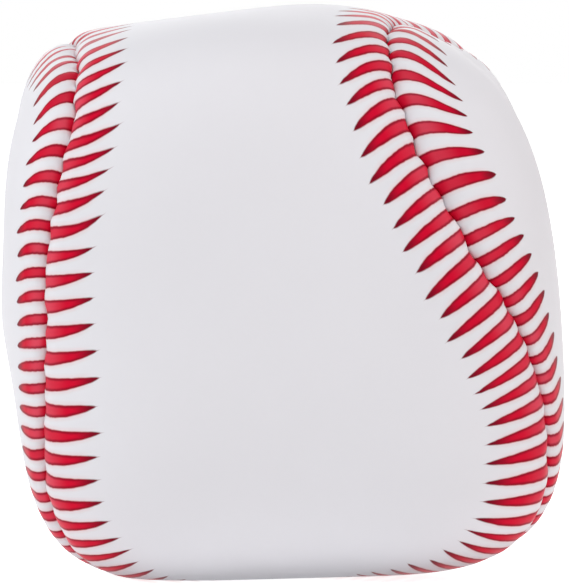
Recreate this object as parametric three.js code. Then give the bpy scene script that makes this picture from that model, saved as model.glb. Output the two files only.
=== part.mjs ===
// Footbag: two dog-bone vinyl panels, sewn together along one saddle-shaped seam, round a loose
// filling of plastic pellets. Millimetres, +Z up. It stands on the flat that its weight presses in.
import * as THREE from 'three';

// Bag: a rounded box, measured over the cover before its base is pressed flat
const BAG_WIDTH = 49.2;
const BAG_DEPTH = 49.0;
const BAG_HEIGHT = 49.8;
const BOXINESS = 3.7; // exponent of the rounded box, 2 is an ellipsoid
const LEAN = 4; // degrees, the top leans to the left
const BASE_FLAT = 1; // how far the base is pressed in

// Swells and dents of the loose filling, outwards
const UPPER_LEFT_SWELL = 1.5;
const CROWN_SWELL = 1.05;
const CROWN_FRONT_SWELL = 0.9;
const SHOULDER_DROP = 2.7;
const SHOULDER_FRONT_DROP = 1.85;
const LOWER_RIGHT_SWELL = 1.7;
const LOWER_RIGHT_HOLLOW = 3.3;
const BASE_SWELL = 1.6;
const BASE_DENT = 1.15;
const LOWER_LEFT_SWELL = 0.8;
const LOWER_LEFT_HOLLOW = 1.1;
const TUCK = 3.4;
const LEFT_SWELL = 1.75;
const FLAT_DENT = 3.3;
// Their places: turn round the bag clockwise from the right, as seen from the front, degrees towards
// the front, and spread in degrees
const SWELLS = [
  { turn: 229, front: 0, spread: 11, height: UPPER_LEFT_SWELL },
  { turn: 284, front: 0, spread: 14, height: CROWN_SWELL },
  { turn: 265, front: 35, spread: 16, height: CROWN_FRONT_SWELL },
  { turn: 318, front: 0, spread: 17, height: -SHOULDER_DROP },
  { turn: 304, front: 42, spread: 16, height: -SHOULDER_FRONT_DROP },
  { turn: 48, front: 28, spread: 13, height: LOWER_RIGHT_SWELL },
  { turn: 50, front: -15, spread: 18, height: -LOWER_RIGHT_HOLLOW },
  { turn: 74, front: -8, spread: 14, height: BASE_SWELL },
  { turn: 112, front: 0, spread: 13, height: -BASE_DENT },
  { turn: 137, front: 19, spread: 13, height: LOWER_LEFT_SWELL },
  { turn: 136, front: -15, spread: 18, height: -LOWER_LEFT_HOLLOW },
  { turn: 157, front: 0, spread: 13, height: -TUCK },
  { turn: 181, front: 0, spread: 15, height: LEFT_SWELL },
  { turn: 201, front: 0, spread: 13, height: -FLAT_DENT },
];

// Seam: a saddle curve that cuts the bag into two alike panels
const SEAM_WAVE = 0.256; // how far the curve swings, which sets the panels' waist
const SEAM_YAW = -1.5; // degrees
const SEAM_PITCH = 20;
const SEAM_ROLL = -0.8;
// How far the sewn seam wanders from that curve, in degrees, at equal steps round it
const SEAM_DRIFT = [
  3.5, 1, 0, -0.5, -0.5, 0, 0, 0, -0.5, -1.5, -2.5, -4,
  -4, 1.5, -2.5, -0.5, -0.5, 2.5, 4.5, 3.5, -2.5, -4, 3, 7,
];
const LOBE_CENTRE = 100; // degrees from a panel's waist to the middle of each of its lobes

// Cover
const VINYL = 0.9; // thickness of a panel
const PLY_GAP = 0.3; // between the two allowances where they are sewn face to face
const FOLD_WIDTH = 2.4; // the roll along the seam, from the seam to the smooth panel
const FOLD_DEPTH = 1; // from the panel down to where the two plies meet
const ALLOWANCE = 5; // the sewn-in edge below the fold
const STITCH_LINE = 1.4; // from the fold down to the stitches

// Stitching
const STITCHES = 52; // round the whole seam
const HAND_STITCHES = 8; // of these, the ones that close the filling opening by hand
const OPENING_STATION = 0.25; // middle of the opening, as a share of the way round the seam
const THREAD = 0.36; // diameter
const THREAD_GAP = 0.25; // between a thread and what it passes
const KNOT = 0.9; // diameter of the knots on the closing thread

// Filling
const FILL_GAP = 0.3; // between the pellets and the cover or its threads

// Facets
const ROLL_STEPS = 3; // round the fold
const PANEL_STEPS = 6; // from the fold to the panel's centre line
const RIB_STEPS = 64; // samples used to measure along a rib
const SEAM_STEPS = 2000; // samples used to measure along the seam
const FOOT_SWING = 0.3; // how far the ribs bunch up at the ends of a panel, 0 is evenly spread
const THREAD_SIDES = 4;

// Colours
const WHITE_VINYL = { color: 0xe4e3e6, roughness: 0.45, metalness: 0 };
const WHITE_THREAD = { color: 0xeeeae2, roughness: 0.8, metalness: 0 };
const PALE_PELLETS = { color: 0xe9e6da, roughness: 0.5, metalness: 0 };

// Each stitch is a hole in one column of facets, with a plain column after it
const COLUMNS = 4 * Math.round(STITCHES / 2);
const CENTRE_HEIGHT = BAG_HEIGHT / 2 - BASE_FLAT / 2;

// Distances from the seam's middle plane, on either side
const FACE = PLY_GAP / 2;
const BACK = FACE + VINYL;
const THREAD_RUN = BACK + THREAD_GAP + THREAD / 2;
const THREAD_LOOP = THREAD_RUN + THREAD + THREAD_GAP;
const SLOT = Math.max(THREAD_LOOP + THREAD / 2, BACK + THREAD_GAP + KNOT) + FILL_GAP;

// Depths below the panel's outer face
const STITCH_DEPTH = FOLD_DEPTH + STITCH_LINE;
const STRAND = THREAD + THREAD_GAP; // the needle thread passes this far above and below the bobbin thread
const HOLE_HALF = STRAND + THREAD / 2 + THREAD_GAP;
const EDGE_DEPTH = FOLD_DEPTH + ALLOWANCE;
const CREASE_DEPTH = FOLD_DEPTH + VINYL / 2;

const radians = THREE.MathUtils.degToRad;
const vector = (x, y, z) => new THREE.Vector3(x, y, z);

const seamTurn = new THREE.Matrix4().makeRotationFromEuler(
  new THREE.Euler(radians(SEAM_PITCH), radians(SEAM_ROLL), radians(SEAM_YAW), 'ZXY'),
);
const leanTurn = new THREE.Matrix4().makeRotationY(radians(-LEAN));
const swellDirections = SWELLS.map(({ turn, front }) => (
  vector(1, 0, 0).applyAxisAngle(vector(0, 0, 1), -radians(front)).applyAxisAngle(vector(0, 1, 0), radians(turn))
));

// The point of the bag in a direction from its centre, a given depth below the outer face
function skin(direction, depth) {
  const d = direction.clone().normalize();
  const share = (size, extent) => Math.abs(size / (extent / 2 - depth)) ** BOXINESS;
  const sum = share(d.x, BAG_WIDTH) + share(d.y, BAG_DEPTH) + share(d.z, BAG_HEIGHT);
  let radius = sum ** (-1 / BOXINESS);
  SWELLS.forEach(({ spread, height }, i) => {
    const away = d.angleTo(swellDirections[i]) / radians(spread);
    radius += height * Math.exp(-away * away / 2);
  });
  const point = d.multiplyScalar(radius).applyMatrix4(leanTurn);
  point.z = Math.max(point.z + CENTRE_HEIGHT, depth);
  return point;
}

// The ideal seam on a unit sphere, before it is turned into the bag
function saddle(u) {
  const b = SEAM_WAVE;
  const a = 1 - b;
  const rise = 2 * Math.sqrt(a * b);
  return vector(
    a * Math.cos(u) - b * Math.cos(3 * u),
    a * Math.sin(u) + b * Math.sin(3 * u),
    rise * Math.cos(2 * u),
  );
}

// Angles at which equal lengths of the ideal seam begin
function equalSteps(count) {
  const at = (i) => saddle(2 * Math.PI * i / SEAM_STEPS);
  const angles = [];
  const lengths = [0];
  for (let i = 1; i <= SEAM_STEPS; i += 1) {
    lengths.push(lengths[i - 1] + at(i).distanceTo(at(i - 1)));
  }
  for (let k = 0, i = 0; k < count; k += 1) {
    const wanted = lengths[SEAM_STEPS] * k / count;
    while (lengths[i + 1] < wanted) i += 1;
    const part = (wanted - lengths[i]) / (lengths[i + 1] - lengths[i]);
    angles.push(2 * Math.PI * (i + part) / SEAM_STEPS);
  }
  return angles;
}

// Smooth closed curve through the drift's values
function drift(u) {
  const count = SEAM_DRIFT.length;
  const station = u / (2 * Math.PI) * count;
  const i = Math.floor(station);
  const t = station - i;
  const at = (j) => SEAM_DRIFT[(i + j + count) % count];
  const bend = at(0) * 2 + (at(1) - at(-1)) * t + (2 * at(-1) - 5 * at(0) + 4 * at(1) - at(2)) * t * t
    + (3 * at(0) - at(-1) - 3 * at(1) + at(2)) * t * t * t;
  return radians(bend / 2);
}

// The sewn seam: its direction from the bag's centre, and the direction across it
function seamFrame(u) {
  const small = 1e-4;
  const ideal = saddle(u);
  const along = saddle(u + small).sub(saddle(u - small)).normalize();
  const across = ideal.clone().cross(along);
  const turn = drift(u);
  const direction = ideal.clone().multiplyScalar(Math.cos(turn)).addScaledVector(across, Math.sin(turn));
  const outward = across.multiplyScalar(Math.cos(turn)).addScaledVector(ideal, -Math.sin(turn));
  return { direction, outward };
}

const seamAngles = equalSteps(COLUMNS);
const wrap = (k) => (k + COLUMNS) % COLUMNS;

// The two panels: where on a panel's centre line the rib from a seam angle ends, and which column
// on its other side ends there too
const overPanel = {
  foot(u) {
    const swing = Math.sin(u);
    const even = Math.asin(swing) / (Math.PI / 2);
    const angle = radians(LOBE_CENTRE) * THREE.MathUtils.lerp(even, swing, FOOT_SWING);
    return vector(0, Math.sin(angle), Math.cos(angle));
  },
  partner: (k) => wrap(COLUMNS / 2 - k),
};
const underPanel = {
  foot(u) {
    const { x, y, z } = overPanel.foot(Math.PI / 2 - u);
    return vector(y, x, -z);
  },
  partner: (k) => wrap(-k),
};

// A rib runs across a panel, square from the seam to the panel's centre line
function makeRib(panel, u) {
  const { direction: start, outward } = seamFrame(u);
  const foot = panel.foot(u);
  const chord = foot.clone().sub(start);
  const side = Math.sign(outward.dot(chord));
  const handle = start.clone().addScaledVector(outward, side * chord.length() / 2);
  const path = new THREE.QuadraticBezierCurve3(start, handle, foot);
  const directions = path.getPoints(RIB_STEPS).map((point) => point.applyMatrix4(seamTurn).normalize());
  const points = directions.map((direction) => skin(direction, 0));
  const lengths = [0];
  for (let i = 1; i < points.length; i += 1) {
    lengths.push(lengths[i - 1] + points[i].distanceTo(points[i - 1]));
  }
  return { directions, lengths, length: lengths.at(-1), radius: points[0].distanceTo(vector(0, 0, CENTRE_HEIGHT)) };
}

// The point on a rib at a distance from the seam, and at a depth. Ribs close in towards the bag's
// centre, so the distance is opened out by as much.
function onRib(rib, distance, depth) {
  const wanted = Math.min(distance * rib.radius / (rib.radius - depth), rib.length);
  let i = 0;
  while (i < RIB_STEPS - 1 && rib.lengths[i + 1] < wanted) i += 1;
  const part = (wanted - rib.lengths[i]) / (rib.lengths[i + 1] - rib.lengths[i]);
  return skin(rib.directions[i].clone().lerp(rib.directions[i + 1], part), depth);
}

for (const panel of [overPanel, underPanel]) {
  panel.ribs = seamAngles.map((u) => makeRib(panel, u));
}

// Collects a closed surface, and turns it the right way out
class Shell {
  constructor() {
    this.points = [];
    this.faces = [];
  }

  add(point) {
    this.points.push(point);
    return this.points.length - 1;
  }

  // Split along the shorter diagonal
  quad(a, b, c, d) {
    const [pa, pb, pc, pd] = [a, b, c, d].map((i) => this.points[i]);
    if (pa.distanceTo(pc) < pb.distanceTo(pd)) {
      this.triangle(a, b, c);
      this.triangle(a, c, d);
    } else {
      this.triangle(a, b, d);
      this.triangle(b, c, d);
    }
  }

  triangle(a, b, c) {
    if (a !== b && b !== c && c !== a) this.faces.push([a, b, c]);
  }

  volume() {
    const six = ([a, b, c]) => this.points[a].dot(this.points[b].clone().cross(this.points[c]));
    return this.faces.reduce((sum, face) => sum + six(face), 0) / 6;
  }

  geometry() {
    const inside = this.volume() < 0;
    const index = this.faces.flatMap(([a, b, c]) => (inside ? [a, c, b] : [a, b, c]));
    const geometry = new THREE.BufferGeometry().setFromPoints(this.points);
    geometry.setIndex(index);
    geometry.computeVertexNormals();
    return geometry;
  }
}

// Rows of a panel from its outer centre line over the fold, round the allowance and back inside
function panelRows(rib) {
  const smooth = FACE + FOLD_WIDTH;
  const rows = [];
  for (let i = PANEL_STEPS - 1; i > 0; i -= 1) {
    rows.push([smooth + (rib.length - smooth) * i / PANEL_STEPS, 0]);
  }
  for (let i = 0; i <= ROLL_STEPS; i += 1) {
    const turn = Math.PI / 2 * i / ROLL_STEPS;
    rows.push([FACE + FOLD_WIDTH * (1 - Math.sin(turn)), FOLD_DEPTH * (1 - Math.cos(turn))]);
  }
  for (const distance of [FACE, BACK]) {
    const allowance = [STITCH_DEPTH - HOLE_HALF, STITCH_DEPTH + HOLE_HALF, EDGE_DEPTH];
    if (distance === BACK) allowance.reverse();
    rows.push(...allowance.map((depth) => [distance, depth]));
  }
  rows.push([BACK, CREASE_DEPTH]);
  for (let i = 0; i < PANEL_STEPS; i += 1) {
    rows.push([smooth + (rib.length - smooth) * i / PANEL_STEPS, VINYL]);
  }
  return rows;
}

// Places in panelRows of the rows above and below a stitch hole, on the sewn face and on its back
const FACE_ROWS = [PANEL_STEPS + ROLL_STEPS, PANEL_STEPS + ROLL_STEPS + 1];
const BACK_ROWS = [FACE_ROWS[1] + 4, FACE_ROWS[1] + 3];

const hasHole = (k) => k % 2 === 0;

function makePanel(panel) {
  const shell = new Shell();
  const columns = panel.ribs.map((rib) => panelRows(rib).map(([distance, depth]) => (
    shell.add(onRib(rib, distance, depth))
  )));
  panel.ribs.forEach((rib, k) => {
    const shared = panel.partner(k) < k ? columns[panel.partner(k)] : null;
    const end = rib.directions[RIB_STEPS];
    const outer = shared ? shared[0] : shell.add(skin(end, 0));
    const inner = shared ? shared.at(-1) : shell.add(skin(end, VINYL));
    columns[k] = [outer, ...columns[k], inner];
  });
  columns.forEach((column, k) => {
    const next = columns[wrap(k + 1)];
    for (let row = 0; row + 1 < column.length; row += 1) {
      const pierced = row === FACE_ROWS[0] + 1 || row === BACK_ROWS[1] + 1;
      if (!pierced || !hasHole(k)) shell.quad(column[row], next[row], next[row + 1], column[row + 1]);
    }
    if (hasHole(k)) pierce(shell, column, next);
  });
  return shell.geometry();
}

// Walls of one stitch hole through an allowance
function pierce(shell, column, next) {
  const corners = ([above, below]) => [column[above + 1], next[above + 1], next[below + 1], column[below + 1]];
  const face = corners(FACE_ROWS);
  const back = corners(BACK_ROWS);
  for (let i = 0; i < face.length; i += 1) {
    const j = (i + 1) % face.length;
    shell.quad(face[i], face[j], back[j], back[i]);
  }
}

// Rows of the filling on one panel's side: under the panel, then down the slot for the allowances
function fillRows(rib) {
  const smooth = FACE + FOLD_WIDTH;
  const rows = [];
  for (let i = PANEL_STEPS - 1; i >= 0; i -= 1) {
    rows.push([smooth + (rib.length - smooth) * i / PANEL_STEPS, VINYL + FILL_GAP]);
  }
  rows.push([SLOT, CREASE_DEPTH + FILL_GAP]);
  rows.push([SLOT, EDGE_DEPTH + FILL_GAP]);
  return rows;
}

function makeFill() {
  const shell = new Shell();
  const sides = [overPanel, underPanel].map((panel) => {
    const columns = [];
    for (let k = 0; k < COLUMNS; k += 2) {
      const rib = panel.ribs[k];
      const partner = columns[panel.partner(k) / 2];
      const middle = partner ? partner[0] : shell.add(skin(rib.directions[RIB_STEPS], VINYL + FILL_GAP));
      columns.push([middle, ...fillRows(rib).map(([distance, depth]) => shell.add(onRib(rib, distance, depth)))]);
    }
    return columns;
  });
  const loops = sides[0].map((column, k) => [...column, ...sides[1][k].toReversed()]);
  loops.forEach((column, k) => {
    const next = loops[(k + 1) % loops.length];
    for (let row = 0; row + 1 < column.length; row += 1) {
      shell.quad(column[row], next[row], next[row + 1], column[row + 1]);
    }
  });
  return shell.geometry();
}

// A thread along straight runs, mitred at its corners. Each stop is a point and a diameter.
function makeThread(stops) {
  const shell = new Shell();
  const points = stops.map(({ point }) => point);
  const heading = (i) => points[i + 1].clone().sub(points[i]).normalize();
  const first = heading(0);
  const right = Math.abs(first.z) < 0.9 ? vector(0, 0, 1).cross(first).normalize() : vector(1, 0, 0);
  const up = first.clone().cross(right);
  let ring = [];
  for (let i = 0; i < THREAD_SIDES; i += 1) {
    const turn = 2 * Math.PI * (i + 0.5) / THREAD_SIDES;
    const offset = right.clone().multiplyScalar(Math.cos(turn)).addScaledVector(up, Math.sin(turn));
    ring.push(points[0].clone().addScaledVector(offset, stops[0].diameter / 2));
  }
  let last = ring.map((point) => shell.add(point));
  const cap = (corners, centre) => corners.forEach((corner, i) => {
    shell.triangle(centre, corners[(i + 1) % corners.length], corner);
  });
  cap(last, shell.add(points[0]));
  for (let i = 1; i < points.length; i += 1) {
    const arriving = heading(i - 1);
    const leaving = i + 1 < points.length ? heading(i) : arriving;
    const mitre = arriving.clone().add(leaving).normalize();
    const growth = stops[i].diameter / stops[i - 1].diameter;
    ring = ring.map((corner) => {
      const slide = points[i].clone().sub(corner).dot(mitre) / arriving.dot(mitre);
      const slid = corner.clone().addScaledVector(arriving, slide);
      return slid.sub(points[i]).multiplyScalar(growth).add(points[i]);
    });
    const indices = ring.map((point) => shell.add(point));
    indices.forEach((corner, side) => {
      const beside = (side + 1) % THREAD_SIDES;
      shell.quad(last[side], last[beside], indices[beside], corner);
    });
    last = indices;
  }
  cap(last.toReversed(), shell.add(points.at(-1)));
  return shell.geometry();
}

// A stop of a thread beside the middle of a column, which is where its stitch hole is. Across is
// positive on the over panel's side.
function stop(column, across, depth, diameter = THREAD) {
  const panel = across > 0 ? overPanel : underPanel;
  const near = onRib(panel.ribs[wrap(column)], Math.abs(across), depth);
  const far = onRib(panel.ribs[wrap(column + 1)], Math.abs(across), depth);
  return { point: near.lerp(far, 0.5), diameter };
}

// Columns of the stitch holes: the hand stitches over the filling opening, then the machine stitches
const firstHand = 2 * Math.round((OPENING_STATION * COLUMNS - HAND_STITCHES) / 2);
const holes = Array.from({ length: COLUMNS / 2 }, (_, i) => firstHand + 2 * i);
const handHoles = holes.slice(0, HAND_STITCHES);
const machineHoles = holes.slice(HAND_STITCHES);

// Lockstitch: the needle thread runs along the over panel's allowance, and at each hole dips through
// both allowances and round the bobbin thread on the far side
function makeNeedleThread() {
  return makeThread(machineHoles.flatMap((hole) => [
    stop(hole, THREAD_RUN, STITCH_DEPTH - STRAND),
    stop(hole, -THREAD_LOOP, STITCH_DEPTH - STRAND),
    stop(hole, -THREAD_LOOP, STITCH_DEPTH + STRAND),
    stop(hole, THREAD_RUN, STITCH_DEPTH + STRAND),
    stop(hole + 1, THREAD_RUN, STITCH_DEPTH),
  ]));
}

function makeBobbinThread() {
  return makeThread(machineHoles.flatMap((hole) => [
    stop(hole, -THREAD_RUN, STITCH_DEPTH),
    stop(hole + 1, -THREAD_RUN, STITCH_DEPTH),
  ]));
}

// Hand stitch: one thread passes through both allowances at each hole, with a knot at either end
function makeClosingThread() {
  const knotMiddle = BACK + THREAD_GAP + KNOT / 2;
  const knotEnd = BACK + THREAD_GAP + KNOT;
  const knot = (hole, side) => [
    stop(hole, side * knotEnd, STITCH_DEPTH),
    stop(hole, side * knotMiddle, STITCH_DEPTH, KNOT),
    stop(hole, side * (BACK + THREAD_GAP), STITCH_DEPTH),
  ];
  const sideAfter = (i) => (i % 2 === 0 ? -1 : 1);
  const passes = handHoles.flatMap((hole, i) => [
    stop(hole, -sideAfter(i) * THREAD_RUN, STITCH_DEPTH),
    stop(hole, sideAfter(i) * THREAD_RUN, STITCH_DEPTH),
    stop(hole + 1, sideAfter(i) * THREAD_RUN, STITCH_DEPTH),
  ]);
  const lastSide = sideAfter(HAND_STITCHES - 1);
  return makeThread([
    ...knot(handHoles[0], 1),
    ...passes.slice(1, -2),
    ...knot(handHoles.at(-1), lastSide).toReversed(),
  ]);
}

const footbag = new THREE.Group();
function piece(name, geometry, look) {
  const mesh = new THREE.Mesh(geometry, new THREE.MeshStandardMaterial(look));
  mesh.name = name;
  footbag.add(mesh);
}

piece('over_panel', makePanel(overPanel), WHITE_VINYL);
piece('under_panel', makePanel(underPanel), WHITE_VINYL);
piece('needle_thread', makeNeedleThread(), WHITE_THREAD);
piece('bobbin_thread', makeBobbinThread(), WHITE_THREAD);
piece('closing_thread', makeClosingThread(), WHITE_THREAD);
piece('pellet_fill', makeFill(), PALE_PELLETS);

// The middle of the bag's outline stands on the origin
const middle = new THREE.Box3().setFromObject(footbag).getCenter(vector(0, 0, 0));
footbag.position.set(-middle.x, -middle.y, 0);
footbag.updateMatrixWorld(true);

export default footbag;
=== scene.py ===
"""Footbag: the finished look of a two-panel vinyl kicking bag, laid out as a Blender add-on."""
import math

import bmesh
import bpy
import numpy as np
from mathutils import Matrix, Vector, kdtree


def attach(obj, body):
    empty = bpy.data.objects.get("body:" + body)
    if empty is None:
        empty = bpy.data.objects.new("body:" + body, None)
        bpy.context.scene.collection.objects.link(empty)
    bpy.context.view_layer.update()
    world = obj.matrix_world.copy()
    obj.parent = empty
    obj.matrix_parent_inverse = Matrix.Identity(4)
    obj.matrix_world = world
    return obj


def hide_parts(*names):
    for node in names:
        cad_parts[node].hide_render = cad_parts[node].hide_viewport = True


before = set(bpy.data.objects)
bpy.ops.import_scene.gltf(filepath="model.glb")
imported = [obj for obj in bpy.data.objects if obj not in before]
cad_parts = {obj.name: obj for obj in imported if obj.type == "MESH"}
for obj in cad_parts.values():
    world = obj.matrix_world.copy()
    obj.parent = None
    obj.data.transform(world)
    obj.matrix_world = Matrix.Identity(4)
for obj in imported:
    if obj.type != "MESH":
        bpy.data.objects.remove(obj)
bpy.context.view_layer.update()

bl_info = {
    "name": "Footbag",
    "version": (1, 0, 0),
    "blender": (4, 5, 0),
    "location": "View3D > Sidebar > Footbag",
    "description": "Builds a sewn two-panel footbag with printed stitch marks, its threads and its pellets",
    "category": "Object",
}

MM = 0.001
IMAGE_WIDTH = 569

# Swells and dents of the loose filling: degrees round the bag, clockwise from the right as seen
# from the front, degrees towards the front, spread in degrees, height outwards
SWELLS = (
    (229, 0, 11, 1.5 * MM),     # upper left corner
    (284, 0, 14, 1.05 * MM),    # crown
    (265, 35, 16, 0.9 * MM),    # front of the crown
    (318, 0, 17, -2.7 * MM),    # dropped right shoulder
    (304, 42, 16, -1.85 * MM),  # front of that shoulder
    (48, 28, 13, 1.7 * MM),     # lower right corner
    (50, -15, 18, -3.3 * MM),   # hollow behind it
    (74, -8, 14, 1.6 * MM),     # base, where the filling spreads
    (112, 0, 13, -1.15 * MM),   # shallow base on the left
    (137, 19, 13, 0.8 * MM),    # lower left corner
    (136, -15, 18, -1.1 * MM),  # hollow behind it
    (157, 0, 13, -3.4 * MM),    # tuck above it
    (181, 0, 15, 1.75 * MM),    # left side
    (201, 0, 13, -3.3 * MM),    # flat upper left side
)
# How far the sewn seam wanders from the ideal curve, in degrees, at equal steps round it
SEAM_DRIFT = (
    3.5, 1, 0, -0.5, -0.5, 0, 0, 0, -0.5, -1.5, -2.5, -4,
    -4, 1.5, -2.5, -0.5, -0.5, 2.5, 4.5, 3.5, -2.5, -4, 3, 7,
)
# The print along the seam, with each row at equal steps round it
# first and marks: where the count of the marks starts, and how many lie on each step
# lean and reach: how far a mark's tip leans along the seam and lies from it, in millimetres
# taper and point: powers that narrow a mark from its foot to its tip
# broad: a mark's width, as a share of the width in the print's sizes
OVER_PRINT = {
    "first": -0.488,
    "marks": (
        2.58, 2.32, 2.32, 2.58, 3.14, 3.41, 3.29, 3.31, 3.32, 3.33, 3.33, 3.32,
        3.29, 3.31, 3.36, 3.39, 3.39, 3.41, 3.5, 3.35, 3.07, 2.33, 2.17, 1.98,
        1.83, 3.34, 3.9, 3.03, 2.77, 2.83, 3.12, 3.18, 3.19, 3.21, 3.22, 3.23,
        3.25, 3.25, 3.25, 3.25, 3.28, 3.22, 3.05, 3.0, 3.02, 3.08, 3.35, 2.35),
    "lean": (
        -2.2, -1.8, -1.4, -1.1, -0.9, -0.8, -0.8, -0.7, -0.7, -0.8, -0.8, -0.8,
        -0.8, -0.8, -0.8, -0.8, -0.8, -0.8, -0.8, -0.9, -1.1, -1.3, -1.6, -1.7,
        -1.6, -0.9, -1.7, -2.4, -1.5, -1.2, -1.2, -1.4, -0.8, 0.1, 0.2, 0.1,
        -0.2, -0.3, -0.4, -0.3, 0.3, 0.4, 0.1, 0.0, -0.7, -1.1, -1.7, -2.3),
    "reach": (
        5.2, 5.0, 5.6, 5.6, 5.6, 5.6, 5.6, 5.6, 5.6, 5.6, 5.6, 5.8,
        6.1, 5.5, 5.9, 6.8, 7.9, 6.5, 4.6, 8.0, 8.6, 7.5, 6.3, 5.6),
    "taper": (3.0, 2.4, 1.8, 2.4),
    "point": 0.68,
    "broad": 1.0,
}
UNDER_PRINT = {
    "first": 0.437,
    "marks": (
        3.75, 4.85, 4.95, 5.05, 5.15, 5.25, 5.45, 5.45, 5.55, 5.6, 5.0, 4.2,
        4.2, 5.9, 5.95, 6.45, 6.55, 6.65, 6.75, 6.85, 7.1, 5.95, 4.75, 4.65),
    "lean": (
        -3.0, -1.8, -0.7, 0.0, 0.4, 0.6, 0.7, 0.7, 0.6, 0.6, 0.5, 0.5,
        0.5, 0.5, 0.5, 0.5, 0.5, 0.5, 0.5, 0.4, 0.2, 0.1, -0.1, -0.2,
        0.0, 0.7, 1.9, 1.7, 1.3, 0.9, 0.7, 0.6, 0.5, 0.5, 0.5, 0.5,
        0.5, 0.6, 0.6, 0.6, 0.6, 0.5, 0.4, -0.3, -0.9, -1.4, -3.8, -3.9),
    "reach": (
        4.6, 3.0, 3.3, 4.9, 5.6, 5.6, 5.6, 5.6, 5.6, 5.6, 5.6, 5.6,
        5.4, 4.2, 4.1, 5.0, 4.8, 4.9, 4.9, 4.8, 4.9, 5.2, 5.2, 5.4),
    "taper": (5.0, 4.2, 3.4, 4.2),
    "point": 0.6,
    "broad": 0.86,
}
LEAN_CURVE = 1.8       # power of the reach with which a mark leans over
EVEN_PITCH = 2.0 * MM  # pitch at which a mark has its plain width
PITCH_SHARE = 0.6      # power of the pitch with which marks that lie further apart are broader
PRINT_REACH = 12 * MM  # the print's own coordinates run this far from the seam
RING_STEPS = 16        # samples of the seam per column, to measure the print square to it
RING_PART = 24         # one part in so many of the seam is searched to either side of a column
COLUMNS_PER_STITCH = 8
HOLE_PLACE = 0.25      # where in a stitch its hole lies
RIB_STEPS = 96         # samples along a rib
SEAM_STEPS = 4000      # samples along the seam
PANEL_ROWS = 26        # from the fold to the panel's centre line
ROLL_ROWS = 14         # round the fold
ALLOWANCE_ROWS = (0.25, 0.6, 1)  # shares of the way down the allowance
FOOT_SWING = 0.3       # how far ribs bunch up at the ends of a panel
JOG_RATE = 12          # turns of the jogs' unevenness in one turn round the seam
JOG_SEED = 21
FOLD_UNEVEN = 0.10     # share by which the fold's width wanders along the seam
DIP_UNEVEN = 0.06      # share by which its depth does
BASE_ROUNDING = 0.2 * MM  # softness of the edge round the flat base
OUTLINE_POINTS = 40000    # random points by which the bag is centred
OUTLINE_SEED = 1
CLOTH_FRAMES = 20
CLOTH_FINENESS = 5     # subdivisions of the ball that the simulated cover starts from
CLOTH_QUALITY = 6
CLOTH_SCALE = 8        # the cover is simulated this much larger, as cloth hardly moves at its real size
CLOTH_BLUR = 0.07      # radians over which the simulated moves are smoothed
CLOTH_BATCH = 4000     # points that are moved at a time, to spare memory
SEAM_HOLD = 3 * MM     # past the fold, over which the cloth comes free of the seam
BASE_HOLD = 0.1 * MM   # above the floor, up to which the cloth is held
BASE_FREE = 1.5 * MM   # above that, over which the cloth comes free of the base
THREAD_POINTS = 900
THREAD_GAP = 0.15 * MM  # between a thread and what it lies beside
TWIST_LENGTH = 2.5 * MM
KNOT_TURNS = 2
KNOT_STEPS = 6         # samples of each turn
KNOT_LENGTH = 0.55 * MM
KNOT_RADIUS = 0.27 * MM  # from a knot's middle line to the thread's
PELLET_SIDES = 10
PELLET_LENGTH = 0.75   # of its diameter
PELLET_REACH = 0.65    # from its middle to its furthest edge, of its diameter
PACKING_HALF = 0.03    # half the side of the block of places that the pellets are picked from
EDGE_ROWS = 8          # samples down a sewn-in edge that pellets keep clear of
LAMP_SIZE = 0.5
LAMP_TARGET = (0, 0, 25 * MM)
NEUTRAL = (1, 1, 1)
# Name, place, watts and colour
LAMPS = (
    ("key_lamp", (-0.14, -0.31, 0.79), 3.4, NEUTRAL),
    ("front_lamp", (0.0, -0.6, 0.08), 0.15, NEUTRAL),
    ("left_lamp", (-0.65, -0.15, 0.15), 1.65, NEUTRAL),
    ("right_lamp", (0.65, -0.22, 0.03), 2.6, (1.0, 0.91, 0.87)),
    ("back_lamp", (0.0, 0.75, 0.35), 0.7, NEUTRAL),
)
FLOOR_GLOW = 0.15      # strength with which the floor lights the bag
FLOOR_WHITE = 0.67     # and what it gains where it is seen as background
WORLD_GLOW = 0.3
WORLD_WHITE = 0.7


def length_prop(name, description, millimetres):
    """A length that a user can change."""
    return bpy.props.FloatProperty(
        name=name, description=description, default=millimetres * MM, unit="LENGTH")


def angle_prop(name, description, degrees):
    """An angle that a user can change."""
    return bpy.props.FloatProperty(
        name=name, description=description, default=math.radians(degrees), subtype="ANGLE")


def colour_prop(name, description, default):
    """A colour that a user can change."""
    return bpy.props.FloatVectorProperty(
        name=name, description=description, default=default, size=4, subtype="COLOR")


class BagShape(bpy.types.PropertyGroup):
    """The bag's form before its base is pressed flat."""
    width: length_prop("Width", "Over the cover, left to right", 49.2)
    depth: length_prop("Depth", "Over the cover, front to back", 49.0)
    height: length_prop("Height", "Over the cover, base to crown", 49.8)
    boxiness: bpy.props.FloatProperty(
        name="Boxiness", description="Exponent of the rounded box, 2 is an ellipsoid", default=3.7)
    lean: angle_prop("Lean", "How far the top leans to the left", 4)
    base_flat: length_prop("Base flat", "How far the base is pressed in", 1.0)
    pressure: bpy.props.FloatProperty(
        name="Pressure", description="With which the filling presses the cover out", default=4.0)
    slack: length_prop("Slack", "How much smaller the cover is before it is pressed out", 0.4)
    press_limit: length_prop("Press limit", "Furthest that the cover moves from its mean", 0.3)


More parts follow.
